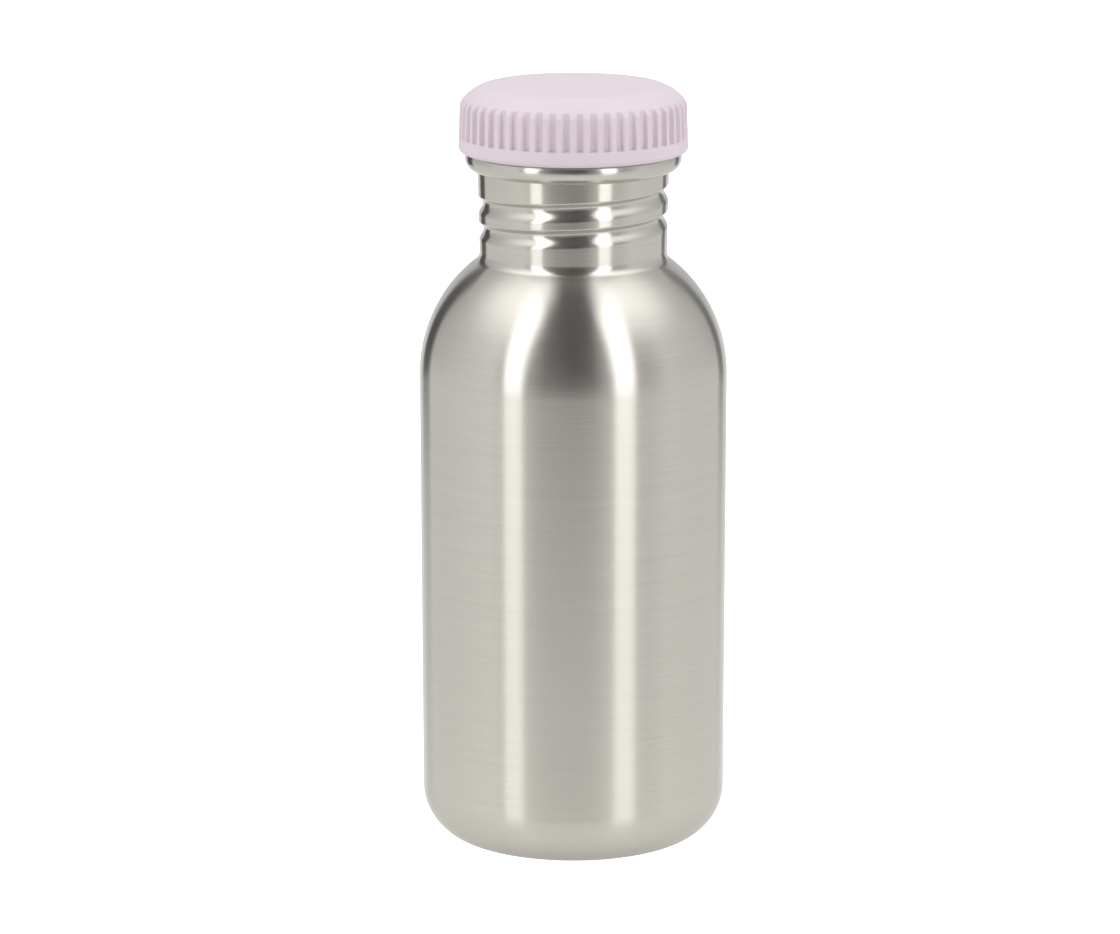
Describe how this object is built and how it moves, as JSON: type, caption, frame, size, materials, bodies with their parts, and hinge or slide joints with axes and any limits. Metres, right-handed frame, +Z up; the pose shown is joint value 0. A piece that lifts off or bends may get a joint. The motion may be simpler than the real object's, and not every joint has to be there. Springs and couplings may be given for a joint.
{
  "type": "baby drinking bottle",
  "caption": "Small single-wall steel drinking bottle for a child, with a rounded shoulder, a rolled screw neck and a ribbed screw-in stopper lid.",
  "frame": {"origin": "centre of the flat ring that the bottle stands on, which is the bottom centre of its box", "axes": "+Z up along the bottle's axis, from the standing ring to the lid; +X and +Y are level"},
  "size_m": [0.071, 0.071, 0.1772],
  "materials": {
    "steel": "fine circumferential brushing over a soft shine",
    "lid_lilac": "satin moulded polypropylene, pale lilac",
    "plug_white": "satin moulded polypropylene, off-white",
    "seal": "matte food-grade silicone"
  },
  "bodies": {
    "bottle": {"bottle_shell": "steel", "base_disc": "steel"},
    "seal": {"lid_gasket": "seal"},
    "lid": {"lid_cover": "lid_lilac", "lid_plug": "plug_white"}
  },
  "joints": [
    {"name": "lid_rise", "type": "slide", "parent": "bottle", "child": "seal", "axis": [0, 0, 1], "range_m": [0, 0.012]},
    {"name": "lid_turn", "type": "hinge", "parent": "seal", "child": "lid", "pos_m": [0, 0, 0.1621], "axis": [0, 0, 1], "range_deg": [0, 720]}
  ],
  "couplings": [
    {"joint": "lid_rise", "follows": "lid_turn", "m_per_rad": 0.00095493}
  ]
}
